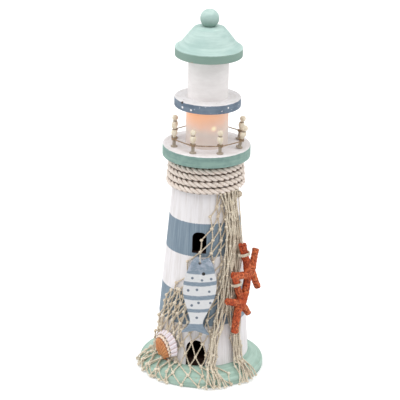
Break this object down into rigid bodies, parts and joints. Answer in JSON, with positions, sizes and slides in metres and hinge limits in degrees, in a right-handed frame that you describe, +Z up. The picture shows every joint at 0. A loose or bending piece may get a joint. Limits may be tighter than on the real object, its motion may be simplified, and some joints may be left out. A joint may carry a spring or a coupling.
{
  "type": "garden lighthouse ornament",
  "caption": "Turned wooden lighthouse ornament with a lit lantern room, gallery railing, rope, draped net, hanging fish, coral and shell, and a battery box in its foot.",
  "frame": {"origin": "centre of the foot, on the surface that it stands on", "axes": "+Z up along the tower's axis, -Y towards the front with the door, +X to the right as seen from the front"},
  "size_m": [0.1091, 0.1091, 0.32],
  "materials": {
    "foot_green_paint": "brushed satin paint on turned wood",
    "tower_white_paint": "brushed satin paint with two blue-grey bands",
    "deck_green_paint": "brushed satin paint, white on top",
    "pale_wood": "turned, washed white",
    "dark_twine": "twisted",
    "milky_tube": "frosted, lit from inside",
    "ring_slate_paint": "brushed satin paint, white on top, chipped",
    "drum_cream_paint": "brushed satin paint",
    "bare_wood": "bare",
    "roof_mint_paint": "brushed satin paint",
    "jute_rope": "laid in three strands",
    "cream_twine": "twisted",
    "fish_paint": "painted with blue-grey bands and dots",
    "black_pin": "gloss",
    "red_coral": "granular",
    "shell": "ribbed, banded",
    "led_dome": "warm white",
    "tinned_steel": "tinned",
    "black_plastic": "moulded",
    "red_wire": "insulated",
    "zinc_steel": "zinc plated"
  },
  "bodies": {
    "lighthouse": {"foot_plate": "foot_green_paint", "tower_body": "tower_white_paint", "gallery_deck": "deck_green_paint", "railing_posts": "pale_wood", "railing_cord": "dark_twine", "railing_hitches": "dark_twine", "lantern_tube": "milky_tube", "lantern_ring": "ring_slate_paint", "upper_drum": "drum_cream_paint", "head_dowels": "bare_wood", "roof_cap": "roof_mint_paint", "finial_dowel": "bare_wood", "finial_ball": "roof_mint_paint", "rope_wrap": "jute_rope", "net_drape": "cream_twine", "net_bundle": "cream_twine", "net_hem": "cream_twine", "net_knot": "cream_twine", "fish_loop": "cream_twine", "coral_branch": "red_coral", "coral_ties": "cream_twine", "coral_cord": "cream_twine", "scallop_shell": "shell", "led_bulb": "led_dome", "led_legs": "tinned_steel", "led_holder": "black_plastic", "wire_red": "red_wire", "wire_black": "black_plastic", "resistor_sleeve": "black_plastic", "battery_box": "black_plastic", "box_screws": "zinc_steel", "button_cells": "zinc_steel", "contact_strips": "tinned_steel", "switch_body": "tinned_steel"},
    "fish": {"fish_body": "fish_paint", "fish_eye": "black_pin"},
    "battery_cover": {"battery_cover": "black_plastic", "cover_link": "tinned_steel"},
    "cover_screw": {"cover_screw": "zinc_steel"},
    "switch_knob": {"switch_knob": "black_plastic"}
  },
  "joints": [
    {"name": "fish_swing", "type": "hinge", "parent": "lighthouse", "child": "fish", "pos_m": [-0.00295, -0.03847, 0.11031], "axis": [-0.0608, -0.9949, 0.0809], "range_deg": [-5, 5]},
    {"name": "cover_hinge", "type": "hinge", "parent": "lighthouse", "child": "battery_cover", "pos_m": [-0.0271, 0, 0.00125], "axis": [0, 1, 0], "range_deg": [0, 95]},
    {"name": "cover_screw_turn", "type": "hinge", "parent": "battery_cover", "child": "cover_screw", "pos_m": [0.0171, 0, 0.0005], "axis": [0, 0, 1], "continuous": true},
    {"name": "switch_slide", "type": "slide", "parent": "lighthouse", "child": "switch_knob", "axis": [0, 1, 0], "range_m": [0, 0.002]}
  ]
}
